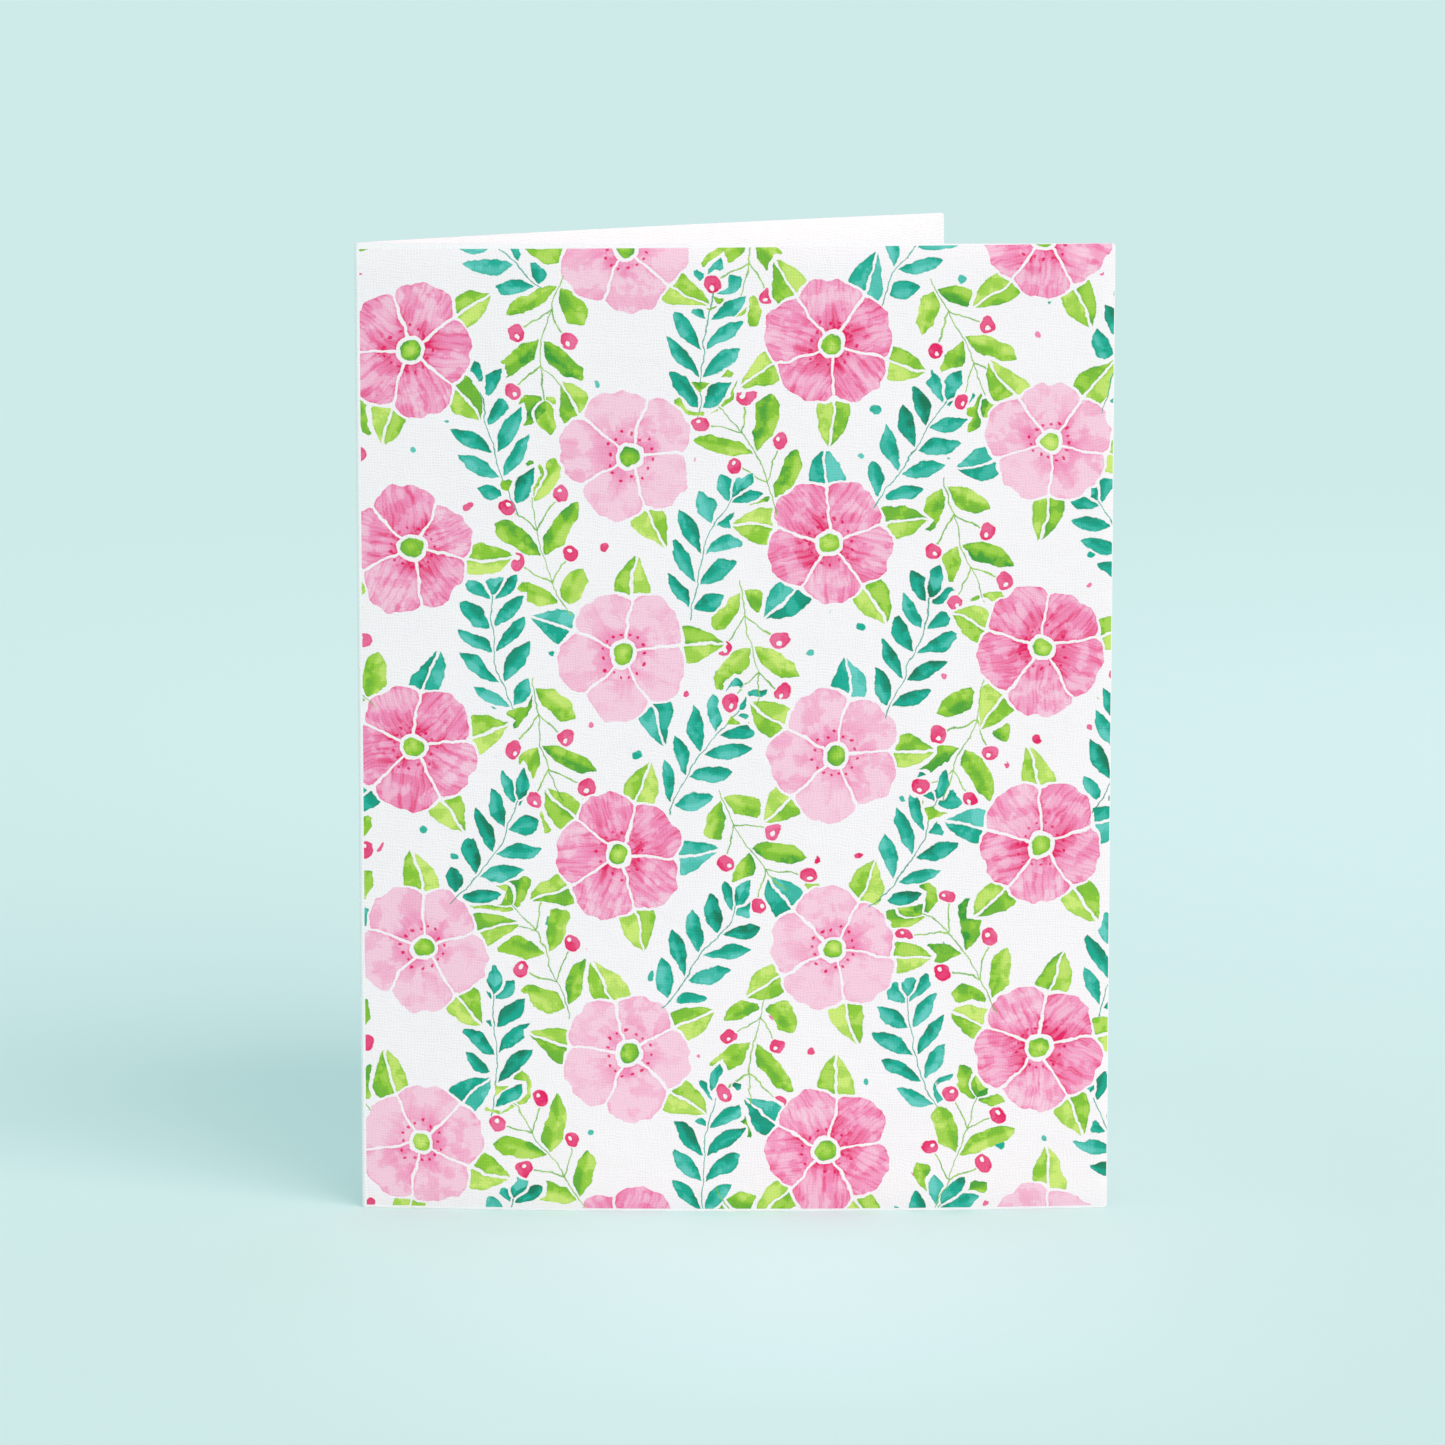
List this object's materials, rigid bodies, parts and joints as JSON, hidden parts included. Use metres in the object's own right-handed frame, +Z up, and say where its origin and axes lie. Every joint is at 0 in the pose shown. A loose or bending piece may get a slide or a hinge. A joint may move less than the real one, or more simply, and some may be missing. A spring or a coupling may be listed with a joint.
{
  "type": "folded greeting card",
  "caption": "Folded card of heavy white paper with a printed front, standing part open on its bottom edges; its back leaf turns about the upright fold.",
  "frame": {"origin": "centre of the card's box, on the surface it stands on", "axes": "+Z up along the fold; the printed front leaf faces -Y; +X runs along the front leaf from the fold to its free edge"},
  "size_m": [0.109, 0.0706, 0.1397],
  "materials": {
    "printed_card": "matt watercolour-style print on bright white linen-embossed card",
    "plain_card": "matt bright white linen-embossed card"
  },
  "bodies": {
    "front": {"front_leaf": "printed_card"},
    "back": {"back_leaf": "plain_card"}
  },
  "joints": [
    {"name": "fold", "type": "hinge", "parent": "front", "child": "back", "pos_m": [-0.05335, -0.03133, 0.06985], "axis": [0, 0, 1], "range_deg": [-37.5, 142.5]}
  ]
}
